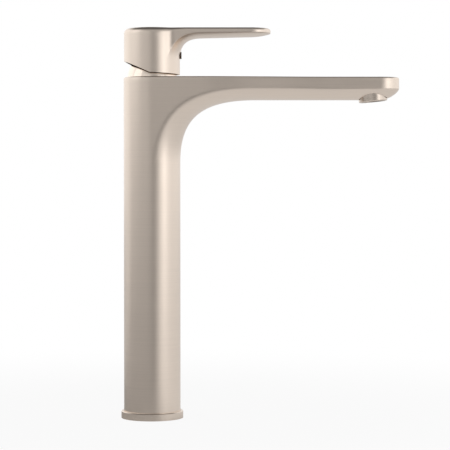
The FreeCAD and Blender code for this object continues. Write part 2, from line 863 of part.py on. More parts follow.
def make_cartridge_base():
    """Plug in the housing's foot, with counterbores for the seals on both faces."""
    top = "seat_z + base_height"
    body = turned_body(
        "cartridge_base",
        [
            ("0", "seat_z"),
            ("housing_r", "seat_z"),
            ("housing_r", "seat_z + base_flange_height"),
            ("housing_r - housing_wall - part_gap", "seat_z + base_flange_height"),
            ("housing_r - housing_wall - part_gap", top),
            ("0", top),
        ],
    )
    round_holes(body, "base_ports", port_places(), top, "base_height")
    wide = [(x, y, f"{r} + port_seal_wall") for x, y, r in port_places()]
    round_holes(body, "upper_counterbores", wide, top, "port_seal_height")
    round_holes(body, "lower_counterbores", wide, "seat_z + port_seal_height", "port_seal_height")


def make_fixed_disc():
    foot = "seat_z + base_height"
    body = turned_body(
        "fixed_disc",
        [
            ("0", foot),
            ("fixed_disc_r", foot),
            ("fixed_disc_r", f"{foot} + disc_height"),
            ("0", f"{foot} + disc_height"),
        ],
    )
    round_holes(body, "disc_ports", port_places(), f"{foot} + disc_height", "disc_height")


def carrier_shift():
    """How far the slide stands behind the axis at rest: half of its travel."""
    arm = "(pivot_z - ball_z)"
    return f"(-{arm} * sin(lift_angle) / 2)"


def make_moving_disc():
    """Ceramic slide with the mixing pocket in its lower face."""
    foot = "seat_z + base_height + disc_height"
    body = new_body("moving_disc")
    plate = new_sketch(body, "slide_plate", "XY_Plane", foot)
    draw_circle(plate, carrier_shift(), "0", "moving_disc_r")
    extrude(body, plate, "PartDesign::Pad", "disc_height")
    pocket = new_sketch(body, "mixing_pocket", "XY_Plane", f"{foot} + mix_pocket_depth")
    half = "mix_pocket_r * sin(60)"
    draw_outline(
        pocket,
        [
            (f"{carrier_shift()} + mix_pocket_front_x", f"-({half})"),
            (f"{carrier_shift()} + mix_pocket_front_x", half),
            (f"{carrier_shift()} - mix_pocket_r / 2", half),
            (f"{carrier_shift()} - mix_pocket_r", "mix_pocket_r / 4"),
            (f"{carrier_shift()} - mix_pocket_r", "-mix_pocket_r / 4"),
            (f"{carrier_shift()} - mix_pocket_r / 2", f"-({half})"),
        ],
    )
    extrude(body, pocket, "PartDesign::Pocket", "mix_pocket_depth")


def make_disc_carrier():
    """Plastic carrier on the slide; the stem's ball works in its cross slot."""
    foot = "carrier_foot_z"
    rim_foot = f"({foot} - carrier_rim)"
    body = new_body("disc_carrier")
    plate = new_sketch(body, "carrier_plate", "XY_Plane", foot)
    draw_circle(plate, carrier_shift(), "0", "carrier_r")
    extrude(body, plate, "PartDesign::Pad", "carrier_height")
    rim = new_sketch(body, "carrier_rim_ring", "XY_Plane", rim_foot)
    draw_circle(rim, carrier_shift(), "0", "carrier_r")
    draw_circle(rim, carrier_shift(), "0", "moving_disc_r + ring_fit")
    extrude(body, rim, "PartDesign::Pad", "carrier_rim")
    top = f"{foot} + carrier_height"
    half = "(ball_r + ball_fit)"
    slot = new_sketch(body, "ball_slot", "XY_Plane", top)
    draw_outline(
        slot,
        [
            (f"-{half}", f"-{half}"),
            (half, f"-{half}"),
            (half, half),
            (f"-{half}", half),
        ],
    )
    extrude(body, slot, "PartDesign::Pocket", "carrier_height")


def make_cartridge_housing():
    bore = "housing_r - housing_wall"
    foot = "seat_z + base_flange_height"
    neck_bore = "rotor_r + rotor_fit"
    roof_foot = "housing_top_z - housing_roof"
    turned_body(
        "cartridge_housing",
        [
            (bore, foot),
            ("housing_r", foot),
            ("housing_r", "housing_top_z"),
            ("neck_r", "housing_top_z"),
            ("neck_r", "neck_top_z"),
            (neck_bore, "neck_top_z"),
            (neck_bore, roof_foot),
            (bore, roof_foot),
        ],
    )


def make_swivel_rotor():
    """Turns in the housing's neck and carries the stem's pin."""
    flange_top = "rotor_foot_z + rotor_flange_height"
    body = turned_body(
        "swivel_rotor",
        [
            ("0", "rotor_foot_z"),
            ("rotor_flange_r", "rotor_foot_z"),
            ("rotor_flange_r", flange_top),
            ("rotor_r", flange_top),
            ("rotor_r", "rotor_top_z"),
            ("0", "rotor_top_z"),
        ],
    )
    slot = new_sketch(body, "stem_slot", "XY_Plane", "rotor_top_z")
    half = "rotor_slot_width / 2"
    draw_outline(
        slot,
        [
            ("-rotor_slot_back", f"-{half}"),
            ("rotor_slot_front", f"-{half}"),
            ("rotor_slot_front", half),
            ("-rotor_slot_back", half),
        ],
    )
    extrude(body, slot, "PartDesign::Pocket", "rotor_top_z - rotor_foot_z")
    pin_hole = new_sketch(body, "pin_hole", "XZ_Plane", "-rotor_r")
    draw_circle(pin_hole, "0", "pivot_z", "pin_r")
    extrude(body, pin_hole, "PartDesign::Pocket", "2 * rotor_r", True)


# ---------------------------------------------------------------- pieces made of plain solids


def primitive(kind, name, base, **lengths):
    """A plain solid whose lengths and place are expressions."""
    item = doc.addObject("Part::" + kind, name)
    for prop, text in lengths.items():
        item.setExpression(prop, in_sheet(text))
    for axis, text in zip("xyz", base):
        item.setExpression("Placement.Base." + axis, in_sheet(text))
    return item


def join(name, *items):
    result = doc.addObject("Part::MultiFuse", name)
    result.Shapes = list(items)
    return result


def take_away(name, base, *tools):
    """The base less the tools, one after another."""
    for number, tool in enumerate(tools, start=1):
        last = number == len(tools)
        cut = doc.addObject("Part::Cut", name if last else f"{name}_cut_{number}")
        cut.Base = base
        cut.Tool = tool
        base = cut
    return base


def as_sub_part(item, name):
    item.Label = name
    sub_parts.append(item)
    return item


def lay_along_y(item):
    """Turns a cylinder's axis from Z to -Y."""
    item.Placement = Placement(item.Placement.Base, Rotation(Vector(1, 0, 0), 90))


def make_stem():
    """Lever of the cartridge: ball below, round arm, pivot eye and square shank for the handle."""
    ball = primitive("Sphere", "stem_ball", ("0", "0", "ball_z"), Radius="ball_r")
    arm = primitive(
        "Cylinder", "stem_arm", ("0", "0", "ball_z"), Radius="arm_r", Height="stem_square_z - ball_z + arm_r"
    )
    shank = primitive(
        "Box",
        "stem_shank",
        ("-stem_width / 2", "-stem_width / 2", "stem_square_z"),
        Length="stem_width",
        Width="stem_width",
        Height="stem_top_z - stem_square_z",
    )
    eye = primitive(
        "Cylinder",
        "stem_eye",
        ("0", "stem_width", "pivot_z"),
        Radius="pin_r + pin_fit",
        Height="2 * stem_width",
    )
    lay_along_y(eye)
    as_sub_part(take_away("stem", join("stem_blank", ball, arm, shank), eye), "stem")


def make_stem_pin():
    pin = primitive(
        "Cylinder",
        "stem_pin",
        ("0", "rotor_r - rotor_fit", "pivot_z"),
        Radius="pin_r",
        Height="2 * (rotor_r - rotor_fit)",
    )
    lay_along_y(pin)
    as_sub_part(pin, "stem_pin")


def make_dome_cap():
    """Thin dome over the nut, seated on the body's top, with the mouth that the handle works in."""
    centre = ("0", "0", "dome_centre_z")
    outside = primitive("Sphere", "dome_outside", centre, Radius="dome_r")
    inside = primitive("Sphere", "dome_inside", centre, Radius="dome_r - dome_wall")
    below = primitive(
        "Cylinder",
        "dome_below",
        ("0", "0", "body_top_z - 2 * dome_r"),
        Radius="2 * dome_r",
        Height="2 * dome_r",
    )
    mouth = primitive("Cylinder", "dome_mouth", centre, Radius="dome_opening_r", Height="2 * dome_r")
    as_sub_part(take_away("dome_cap", outside, inside, below, mouth), "dome_cap")


# ---------------------------------------------------------------- clamping pieces


def make_slip_ring():
    foot = "housing_top_z"
    inner = "neck_r + slip_ring_fit"
    outer = "housing_r - slip_ring_fit"
    top = "housing_top_z + slip_ring_height"
    turned_body("slip_ring", [(inner, foot), (outer, foot), (outer, top), (inner, top)])


def make_cartridge_nut():
    """Clamps the cartridge: threaded skirt in the column's mouth, six flats on the head."""
    web_foot = "housing_top_z + slip_ring_height"
    top = f"{web_foot} + nut_web_height"
    outer = "valve_bore_r - nut_fit"
    skirt_top = "body_top_z - nut_sink"
    body = turned_body(
        "cartridge_nut",
        [
            ("nut_skirt_inner_r", "nut_skirt_foot_z"),
            (outer, "nut_skirt_foot_z"),
            (outer, skirt_top),
            ("nut_head_r", skirt_top),
            ("nut_head_r", top),
            ("nut_hole_r", top),
            ("nut_hole_r", web_foot),
            ("nut_skirt_inner_r", web_foot),
        ],
    )
    flats = new_sketch(body, "nut_flats", "XY_Plane", top)
    draw_circle(flats, "0", "0", "nut_head_r + nut_web_height")
    draw_hexagon(flats, "0", "0", "nut_flats_width / 2 / cos(30)")
    extrude(body, flats, "PartDesign::Pocket", "nut_web_height * 2 / 3")


def draw_hexagon(sketch, across, along, corner_r):
    """A regular hexagon from its corner radius."""
    corners = []
    for turn_deg in range(30, 390, 60):
        corners.append(
            (
                f"{across} + {corner_r} * cos({turn_deg})",
                f"{along} + {corner_r} * sin({turn_deg})",
            )
        )
    draw_outline(sketch, corners)


# ---------------------------------------------------------------- grub screw and plug


def make_grub_screw():
    """Holds the handle on the stem; a hexagon socket in its outer end."""
    body = new_body("grub_screw")
    shank = new_sketch(body, "screw_shank", "YZ_Plane", "stem_width / 2")
    draw_circle(shank, "0", "screw_z", "screw_r")
    extrude(body, shank, "PartDesign::Pad", "screw_length")
    socket = new_sketch(body, "screw_socket", "YZ_Plane", "stem_width / 2 + screw_length")
    draw_hexagon(socket, "0", "screw_z", "screw_hex_width / 2 / cos(30)")
    extrude(body, socket, "PartDesign::Pocket", "screw_hex_depth")


def make_index_plug():
    """Dark plug over the grub screw."""
    body = new_body("index_plug")
    disc = new_sketch(body, "plug_disc", "YZ_Plane", "hub_r + plug_proud - plug_length")
    draw_circle(disc, "0", "screw_z", "plug_r")
    extrude(body, disc, "PartDesign::Pad", "plug_length")


# ---------------------------------------------------------------- aerator


def make_aerator_housing():
    bore = "aerator_r - aerator_wall"
    lip_hole = "aerator_r - aerator_wall - aerator_lip_width"
    thread = "aerator_r + aerator_gap - aerator_thread_fit"
    body = turned_body(
        "aerator_housing",
        [
            (lip_hole, "0"),
            ("aerator_r - aerator_chamfer", "0"),
            ("aerator_r", "aerator_chamfer"),
            ("aerator_r", "aerator_thread_z"),
            (thread, "aerator_thread_z"),
            (thread, "aerator_height"),
            (bore, "aerator_height"),
            (bore, "aerator_lip"),
            (lip_hole, "aerator_lip"),
        ],
    )
    body.Placement = aerator_placement()


def insert_disc(name, foot, height):
    """A disc that fits the aerator's bore."""
    body = new_body(name)
    sketch = new_sketch(body, name + "_disc", "XY_Plane", foot)
    draw_circle(sketch, "0", "0", "aerator_insert_r")
    extrude(body, sketch, "PartDesign::Pad", height)
    return body


def hole_ring(body, name, top, depth, centre, draw, count):
    """One hole, or count of them in a ring, cut from a height."""
    sketch = new_sketch(body, name, "XY_Plane", top)
    draw(sketch, *centre)
    hole = extrude(body, sketch, "PartDesign::Pocket", depth)
    if count > 1:
        ring = body.newObject("PartDesign::PolarPattern", name + "_ring")
        ring.Originals = [hole]
        ring.Axis = (sketch, ["N_Axis"])
        ring.Angle = 360.0
        ring.Occurrences = count
        body.Tip = ring


def make_aerator_insert():
    """Dark outlet grid of nineteen six-sided channels."""
    body = insert_disc("aerator_insert", "aerator_lip", "aerator_insert_height")
    top = "aerator_lip + aerator_insert_height"
    pitch = "aerator_hole_pitch"
    rings = [
        ("grid_middle", ("0", "0"), 1),
        ("grid_inner", (pitch, "0"), 6),
        ("grid_outer", (f"2 * {pitch}", "0"), 6),
        ("grid_between", (f"{pitch} * 1.5", f"{pitch} * sin(60)"), 6),
    ]
    for name, (across, along), count in rings:
        centre = (across, along, "aerator_hole_r")
        hole_ring(body, name, top, "aerator_insert_height", centre, draw_hexagon, count)
    body.Placement = aerator_placement()


def make_aerator_screen():
    foot = "aerator_lip + aerator_insert_height"
    body = insert_disc("aerator_screen", foot, "screen_height")
    top = f"{foot} + screen_height"
    rings = (("screen_outer", "screen_ring_r", 10), ("screen_inner", "screen_ring_r / 2", 6))
    for name, radius, count in rings:
        centre = (radius, "0", "screen_hole_r")
        hole_ring(body, name, top, "screen_height", centre, draw_circle, count)
    body.Placement = aerator_placement()


def make_aerator_washer():
    foot = "aerator_height"
    top = "aerator_height + washer_height"
    outer = "aerator_r + aerator_gap - washer_fit"
    body = turned_body(
        "aerator_washer",
        [("washer_hole_r", foot), (outer, foot), (outer, top), ("washer_hole_r", top)],
    )
    body.Placement = aerator_placement()


# ---------------------------------------------------------------- build and write


def make_all():
    make_body_shell()
    make_base_ring()
    torus_body("base_o_ring", [("base_seal_r", "base_seal_d - seal_gap", "base_seal_d / 2")])
    make_mounting_insert()
    make_valve_core()
    groove_middle = "valve_bore_r - core_seal_d / 2"
    seal_section = "core_seal_d - 2 * seal_gap"
    seal_heights = ("core_seal_low_z", "core_seal_high_z")
    torus_body("core_o_rings", [(groove_middle, seal_section, height) for height in seal_heights])
    seal_wall = "port_seal_wall - 2 * seal_gap"
    base_top = "seat_z + base_height"
    ring_at_port("seat_seals", ("seat_z", "seat_z + port_seal_height"), "seal_gap", seal_wall)
    make_cartridge_base()
    ring_at_port("disc_port_seals", (f"{base_top} - port_seal_height", base_top), "seal_gap", seal_wall)
    make_fixed_disc()
    make_moving_disc()
    make_disc_carrier()
    make_cartridge_housing()
    make_swivel_rotor()
    make_stem_pin()
    make_stem()
    make_slip_ring()
    make_cartridge_nut()
    make_dome_cap()
    make_lever_handle()
    make_grub_screw()
    make_index_plug()
    make_aerator_housing()
    make_aerator_insert()
    make_aerator_screen()
    make_aerator_washer()


def check_all():
    """Stops if any object failed or any sub-part has no sound shape."""
    for item in doc.Objects:
        if {"Invalid", "Error"} & set(item.State):
            raise RuntimeError(f"{item.Label} failed: {item.State}")
    for item in sub_parts:
        if item.Shape.isNull() or not item.Shape.isValid() or not item.Shape.Solids:
            raise RuntimeError(f"{item.Label} has no sound solid")


make_all()
doc.recompute()
check_all()
os.makedirs("parts", exist_ok=True)
for sub_part in sub_parts:
    sub_part.Shape.exportStep(f"parts/{sub_part.Label}.step")
    print(sub_part.Label, len(sub_part.Shape.Solids), round(sub_part.Shape.Volume, 1))
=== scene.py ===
import json
import math

import bmesh
import bpy
from mathutils import Matrix, Vector


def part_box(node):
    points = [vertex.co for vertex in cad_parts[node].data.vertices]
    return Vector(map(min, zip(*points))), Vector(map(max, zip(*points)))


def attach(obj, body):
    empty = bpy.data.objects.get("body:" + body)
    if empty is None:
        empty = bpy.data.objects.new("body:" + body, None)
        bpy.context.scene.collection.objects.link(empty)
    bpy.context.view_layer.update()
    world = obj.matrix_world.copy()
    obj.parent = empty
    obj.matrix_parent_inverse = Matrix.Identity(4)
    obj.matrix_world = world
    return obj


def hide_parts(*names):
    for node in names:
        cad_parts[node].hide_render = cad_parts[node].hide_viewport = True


# Tall single-lever basin mixer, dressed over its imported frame. Metres, +Z up, +X towards the
# spout's end. The body and the handle get fine meshes from the same curves as their solids;
# every other piece is the frame's own, with a material.

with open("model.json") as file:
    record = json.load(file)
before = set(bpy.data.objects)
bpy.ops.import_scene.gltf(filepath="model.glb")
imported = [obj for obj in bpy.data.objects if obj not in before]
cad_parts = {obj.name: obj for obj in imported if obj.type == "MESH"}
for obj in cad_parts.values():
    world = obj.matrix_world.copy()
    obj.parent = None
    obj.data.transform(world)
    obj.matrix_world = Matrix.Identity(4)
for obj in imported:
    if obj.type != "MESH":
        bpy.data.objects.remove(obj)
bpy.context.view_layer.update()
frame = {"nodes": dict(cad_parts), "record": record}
nodes = frame["nodes"]

MM = 0.001
FORWARD = Vector((1, 0, 0))
ACROSS = Vector((0, 1, 0))
UP = Vector((0, 0, 1))
# lengths and slopes below this count as none
TINY = 1e-6


def top_of(node):
    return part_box(node)[1].z


def foot_of(node):
    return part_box(node)[0].z


# ---------------------------------------------------------------- sizes

BODY_TOP = top_of("body_shell")
BODY_FOOT = foot_of("body_shell")
COLUMN_R = -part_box("body_shell")[0].x
BORE_R = 20 * MM
LEDGE_FOOT = 222 * MM
LEDGE_TOP = 228 * MM
LEDGE_HOLE_R = 14 * MM
SEAT_R = 19.5 * MM

BEND_START_Z = 208 * MM
BEND_LOW_PULL = 35 * MM
BEND_END_X = 84 * MM
BEND_HIGH_PULL = 45 * MM
SPOUT_HEIGHT = 18.3 * MM
SPOUT_UNDER_Z = BODY_TOP - SPOUT_HEIGHT
NARROW_FROM_X = 40 * MM
NARROW_TO_X = 145 * MM
TIP_HALF_WIDTH = 14.8 * MM
TIP_REACH = 17.4 * MM
TIP_START_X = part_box("body_shell")[1].x - TIP_REACH
CROWN_RISE = 8.6 * MM
UNDER_EDGE_R = 2.9 * MM
BODY_TOP_EDGE_R = 1.2 * MM

AERATOR_X = 179.7 * MM
AERATOR_FOOT_Z = 257.1 * MM
AERATOR_TILT = math.radians(-5.5)
# the aerator's pocket is cut by a round bar that reaches as far out of the spout as into it
POCKET_R = 12.1 * MM
POCKET_DEPTH = 11 * MM
POCKET_SIDES = 96

HANDLE_TOP = top_of("lever_handle")
HUB_R = -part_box("lever_handle")[0].x
HUB_WALL = 1.8 * MM
HUB_ROOF = 4.2 * MM
HUB_BORE_R = HUB_R - HUB_WALL
HUB_CEILING = HANDLE_TOP - HUB_ROOF
HUB_CORNER_X = -1.1 * MM
HUB_CORNER_Z = 280.1 * MM
HUB_FRONT_SLOPE = math.tan(math.radians(2.4))
HUB_BACK_SLOPE = math.tan(math.radians(24.4))
HUB_RIM_R = 4 * MM
# the top edge narrows from the hub's radius to the lever's between these places
RIM_FADE = (4 * MM, 30 * MM)
LEVER_START_Z = 291 * MM
LEVER_LOW_PULL = 12.5 * MM
LEVER_ROOT_X = 40 * MM
LEVER_ROOT_Z = 308.6 * MM
LEVER_HIGH_PULL = 12 * MM
LEVER_TIP_Z = 309.6 * MM
LEVER_END_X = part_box("lever_handle")[1].x
LEVER_HALF_WIDTH = 17 * MM
LEVER_NOSE_X = LEVER_END_X - LEVER_HALF_WIDTH
LEVER_ROOT_RISE = 3.2 * MM
LEVER_TIP_RISE = 2.3 * MM
LEVER_UNDER_EDGE_R = 0.9 * MM
LEVER_TOP_EDGE_R = 2 * MM
# the lever's sides leave the hub through a hollow arc
GUSSET_R = 10 * MM

# faces along each stretch of the body and of the handle
COLUMN_STEPS = 24
SPOUT_BEND_STEPS = 64
SPOUT_LEVEL_STEPS = 36
HUB_STEPS = 6
LEVER_BEND_STEPS = 48
LEVER_LEVEL_STEPS = 12

# faces along each stretch of a row
CROWN_STEPS = 20
EDGE_STEPS = 8
SIDE_STEPS = 12
REAR_STEPS = 28
FILLET_STEPS = 7
TIP_STEPS = 28
# a narrow strip of the flat top beside its rounded edge keeps the shading flat
FLAT_MARGIN = 0.2 * MM
# where a section's crown and edge are one arc, the angle that parts them
ROUND_LEAN = math.radians(80)
# the length over which a wall's slope is measured, and the tries that find a row's end
SLOPE_LENGTH = 0.01 * MM
END_TRIES = 8
CORNER_TRIES = 50
CORNER_SHARES = (0.01, 0.999)

# vertices this close are one, and a ring of the centre's radius becomes a point
MERGE_LENGTH = 0.002 * MM
SHORTEST_EDGE = 0.001 * MM
CENTRE_R = 0.0005 * MM
# edges that turn by more than this are shaded sharp
SHARP_ANGLE = math.radians(30)


# ---------------------------------------------------------------- curved arms


def smooth_step(value, start, end):
    share = min(max((value - start) / (end - start), 0), 1)
    return share * share * (3 - 2 * share)


def bezier(points, share):
    """A point of a cubic curve and its direction."""
    a, b, c, d = points
    rest = 1 - share
    place = a * rest**3 + b * (3 * rest**2 * share) + c * (3 * rest * share**2) + d * share**3
    course = (b - a) * rest**2 + (c - b) * (2 * rest * share) + (d - c) * share**2
    return place, course.normalized()


def half_section(half_width, rise, edge_r, wall_lean):
    """Crown and edge of half a section, as (Y, up) pairs from its middle to the wall's foot."""
    crown_r = (half_width**2 + rise**2) / (2 * rise)
    slack = crown_r - edge_r
    if slack < TINY:
        lean = ROUND_LEAN
    else:
        inset = half_width * math.cos(wall_lean) + (crown_r - rise) * math.sin(wall_lean) - edge_r
        lean = math.asin(min(inset / slack, 1)) - wall_lean
    points = []
    for step in range(CROWN_STEPS + 1):
        angle = lean * step / CROWN_STEPS
        points.append((crown_r * math.sin(angle), crown_r * (1 - math.cos(angle))))
    centre = (slack * math.sin(lean), crown_r - slack * math.cos(lean))
    for step in range(1, EDGE_STEPS + 1):
        angle = lean + (math.pi / 2 - wall_lean - lean) * step / EDGE_STEPS
        points.append((centre[0] + edge_r * math.sin(angle), centre[1] - edge_r * math.cos(angle)))
    return points


class Arm:
    """A curved arm that leaves a round wall upright and runs out level.

    wall gives the half width at an X and top_edge the radius of the top edge there. rise and
    edge_r give the height of the underside's crown and the radius beside it, at an X and a share
    of the bend.
    """

    def __init__(self, curve, end, wall, top, top_edge, rise, edge_r, wall_r, level_steps):
        self.curve = curve
        self.end = end
        self.wall = wall
        self.top = top
        self.top_edge = top_edge
        self.rise = rise
        self.edge_r = edge_r
        self.wall_r = wall_r
        self.level_steps = level_steps

    def wall_slope(self, x):
        if x <= SLOPE_LENGTH:
            return 0
        return (self.wall(x + SLOPE_LENGTH) - self.wall(x - SLOPE_LENGTH)) / (2 * SLOPE_LENGTH)

    def row(self, foot, course, share):
        """Half a row from the underside's middle up to the axis or the top edge's foot."""
        up = Vector((-course.z, 0, course.x))
        rise = self.rise(foot.x, share)
        crease_x = foot.x + up.x * rise
        half_width = self.wall(max(crease_x, 0))
        lean = math.atan(self.wall_slope(crease_x) * up.x)
        section = half_section(half_width, rise, self.edge_r(foot.x, share), lean)
        points = [foot + up * height + ACROSS * y for y, height in section]
        start = points[-1]
        to_axis = start.x / -up.x if up.x < -TINY else math.inf
        to_top = math.inf
        if up.z > TINY:
            to_top = (self.top - start.z) / up.z
            for _ in range(END_TRIES):
                to_top = (self.top - self.top_edge(start.x + up.x * to_top) - start.z) / up.z
        length = min(to_axis, to_top)
        for step in range(1, SIDE_STEPS + 1):
            place = start + up * (length * step / SIDE_STEPS)
            points.append(Vector((place.x, self.wall(max(place.x, 0)), place.z)))
        return points, to_axis - to_top

    def bend_row(self, share):
        return self.row(*bezier(self.curve, share), share)

    def corner_share(self):
        """The share of the bend whose row ends where the axis meets the top edge's foot."""
        low, high = CORNER_SHARES
        for _ in range(CORNER_TRIES):
            middle = (low + high) / 2
            if self.bend_row(middle)[1] < 0:
                low = middle
            else:
                high = middle
        return low

    def rows(self, bend_steps):
        """Rows up to the corner, with rear arcs, and rows from the corner to the arm's end."""
        corner = self.corner_share()
        # no row of the bend lies closer to the corner than half a step
        gap = 0.5 / bend_steps
        shares = [step / bend_steps for step in range(bend_steps + 1)]
        before = [share for share in shares if share < corner - gap] + [corner]
        after = [corner] + [share for share in shares if share > corner + gap]
        closed = [self.bend_row(share)[0] for share in before]
        for row in closed:
            row[-1] = Vector((0, self.wall_r, row[-1].z))
            row.extend(rear_arc(self.wall_r, row[-1].z))
        open_rows = [self.bend_row(share)[0] for share in after]
        open_rows[0][-1] = Vector((0, self.wall_r, open_rows[0][-1].z))
        last = self.curve[3]
        course = (self.end - last).normalized()
        for step in range(1, self.level_steps + 1):
            place = last + (self.end - last) * (step / self.level_steps)
            facing = course if step < self.level_steps else FORWARD
            open_rows.append(self.row(place, facing, 1)[0])
        return closed, open_rows


def rear_arc(radius, z):
    """Points from the side to the back of a round wall, without the first."""
    turn = [math.pi / 2 * (1 + step / REAR_STEPS) for step in range(1, REAR_STEPS + 1)]
    return [Vector((radius * math.cos(angle), radius * math.sin(angle), z)) for angle in turn]


def tip_rows(section, centre_x, stretch):
    """The last half section turned a quarter round and drawn out along X."""
    rows = []
    for step in range(TIP_STEPS + 1):
        angle = math.pi / 2 * step / TIP_STEPS
        out = math.sin(angle) * stretch
        rows.append([Vector((centre_x + p.y * out, p.y * math.cos(angle), p.z)) for p in section])
    return rows


def edge_fillet(rim, normals, radii):
    """Rows of a rounded top edge, from its foot on the wall to the flat top."""
    rows = []
    for step in range(FILLET_STEPS + 1):
        angle = math.pi / 2 * step / FILLET_STEPS
        inward = 1 - math.cos(angle)
        climb = math.sin(angle)
        rows.append(
            [p - n * (r * inward) + UP * (r * climb) for p, n, r in zip(rim, normals, radii)]
        )
    rows.append([p - n * FLAT_MARGIN for p, n in zip(rows[-1], normals)])
    return rows


def rim_normals(rim):
    """Outward normals of a level half rim that starts at the back and ends at the front middle."""
    normals = []
    for i in range(len(rim)):
        before = rim[max(i - 1, 0)]
        after = rim[min(i + 1, len(rim) - 1)]
        course = after - before
        normals.append(Vector((-course.y, course.x, 0)).normalized())
    normals[0] = -FORWARD
    normals[-1] = FORWARD
    return normals


# ---------------------------------------------------------------- meshes


class HalfMesh:
    """Faces on the +Y side, mirrored and merged into one closed mesh."""

    def __init__(self):
        self.mesh = bmesh.new()

    def grid(self, rows):
        lines = [[self.mesh.verts.new(point) for point in row] for row in rows]
        for low, high in zip(lines, lines[1:]):
            for i in range(len(low) - 1):
                self.mesh.faces.new((low[i], low[i + 1], high[i + 1], high[i]))

    def finish(self, name):
        """Mirrors the half, closes what is open, such as a flat top, and makes it an object."""
        mesh = self.mesh
        copy = bmesh.ops.duplicate(mesh, geom=mesh.verts[:] + mesh.edges[:] + mesh.faces[:])
        twins = [item for item in copy["geom"] if isinstance(item, bmesh.types.BMVert)]
        for vert in twins:
            vert.co.y = -vert.co.y
        bmesh.ops.remove_doubles(mesh, verts=mesh.verts, dist=MERGE_LENGTH)
        bmesh.ops.dissolve_degenerate(mesh, edges=mesh.edges, dist=SHORTEST_EDGE)
        rims = [edge for edge in mesh.edges if edge.is_boundary]
        bmesh.ops.triangle_fill(mesh, edges=rims, use_beauty=True, normal=UP)
        bmesh.ops.recalc_face_normals(mesh, faces=mesh.faces)
        return new_object(name, mesh)


def add_object(name, data):
    made = bpy.data.objects.new(name, data)
    bpy.context.scene.collection.objects.link(made)
    return made


def shade(data):
    data.shade_smooth()
    data.set_sharp_from_angle(angle=SHARP_ANGLE)


def new_object(name, mesh):
    data = bpy.data.meshes.new(name)
    mesh.to_mesh(data)
    mesh.free()
    shade(data)
    return add_object(name, data)


def scaled_ring(row, radius, z):
    """A round half ring with the angles of a row; z is a height or a function of X."""
    ring = []
    for p in row:
        flat = Vector((p.x, p.y, 0)).normalized() * radius
        ring.append(Vector((flat.x, flat.y, z(flat.x) if callable(z) else z)))
    return ring


# ---------------------------------------------------------------- body


def spout_wall(x):
    return COLUMN_R + (TIP_HALF_WIDTH - COLUMN_R) * smooth_step(x, NARROW_FROM_X, NARROW_TO_X)


def spout_arm():
    curve = (
        Vector((COLUMN_R, 0, BEND_START_Z)),
        Vector((COLUMN_R, 0, BEND_START_Z + BEND_LOW_PULL)),
        Vector((BEND_END_X - BEND_HIGH_PULL, 0, SPOUT_UNDER_Z)),
        Vector((BEND_END_X, 0, SPOUT_UNDER_Z)),
    )
    return Arm(
        curve,
        Vector((TIP_START_X, 0, SPOUT_UNDER_Z)),
        spout_wall,
        BODY_TOP,
        lambda x: BODY_TOP_EDGE_R,
        lambda x, share: CROWN_RISE + (spout_wall(x) - CROWN_RISE) * (1 - share) ** 2,
        lambda x, share: UNDER_EDGE_R + (spout_wall(x) - UNDER_EDGE_R) * (1 - share) ** 2,
        COLUMN_R,
        SPOUT_LEVEL_STEPS,
    )


def arm_grids(arm, lower, closed, open_rows, tip):
    """The half mesh of the wall below an arm, the arm, its tip and its rounded top edge."""
    half = HalfMesh()
    half.grid(lower + closed)
    half.grid(open_rows)
    half.grid(tip)
    rear = closed[-1][-REAR_STEPS:][::-1]
    sides = [row[-1] for row in open_rows]
    nose = [row[-1] for row in tip[1:]]
    rim = rear + sides + nose
    half.grid(edge_fillet(rim, rim_normals(rim), [arm.top_edge(p.x) for p in rim]))
    return half


def build_body():
    arm = spout_arm()
    closed, open_rows = arm.rows(SPOUT_BEND_STEPS)
    foot_row = closed[0]
    column = []
    for step in range(COLUMN_STEPS):
        z = BODY_FOOT + (BEND_START_Z - BODY_FOOT) * step / COLUMN_STEPS
        column.append([Vector((p.x, p.y, z)) for p in foot_row])
    tip = tip_rows(open_rows[-1], TIP_START_X, TIP_REACH / TIP_HALF_WIDTH)
    half = arm_grids(arm, column, closed, open_rows, tip)
    bore = (
        (BORE_R, BODY_FOOT),
        (BORE_R, LEDGE_FOOT),
        (LEDGE_HOLE_R, LEDGE_FOOT),
        (LEDGE_HOLE_R, LEDGE_TOP),
        (SEAT_R, LEDGE_TOP),
        (SEAT_R, BODY_TOP),
    )
    half.grid([column[0]] + [scaled_ring(foot_row, radius, z) for radius, z in bore])
    body = half.finish("brushed_body")
    cut(body, aerator_pocket())
    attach(body, "body")
    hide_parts("body_shell")
    return body


def aerator_pocket():
    """The round bar that cuts the aerator's pocket, tilted as the aerator is."""
    mesh = bmesh.new()
    bmesh.ops.create_cone(
        mesh,
        cap_ends=True,
        segments=POCKET_SIDES,
        radius1=POCKET_R,
        radius2=POCKET_R,
        depth=2 * POCKET_DEPTH,
    )
    pocket = new_object("aerator_pocket", mesh)
    place = Matrix.Translation((AERATOR_X, 0, AERATOR_FOOT_Z))
    pocket.matrix_world = place @ Matrix.Rotation(AERATOR_TILT, 4, "Y")
    return pocket


def cut(piece, cutter):
    """Cuts the cutter out of the piece and keeps the result as the piece's own mesh."""
    step = piece.modifiers.new("cut", "BOOLEAN")
    step.operation = "DIFFERENCE"
    step.solver = "EXACT"
    step.object = cutter
    bpy.context.view_layer.update()
    result = bpy.data.meshes.new_from_object(
        piece.evaluated_get(bpy.context.evaluated_depsgraph_get())
    )
    piece.modifiers.clear()
    piece.data = result
    shade(result)
    bpy.data.objects.remove(cutter)


# ---------------------------------------------------------------- handle


def gusset():
    """Centre of the hollow arc in plan, and the X where it leaves the hub."""
    centre_y = LEVER_HALF_WIDTH + GUSSET_R
    centre_x = math.sqrt((HUB_R + GUSSET_R) ** 2 - centre_y**2)
    return centre_x, centre_y, centre_x * HUB_R / (HUB_R + GUSSET_R)


GUSSET_X, GUSSET_Y, GUSSET_START_X = gusset()


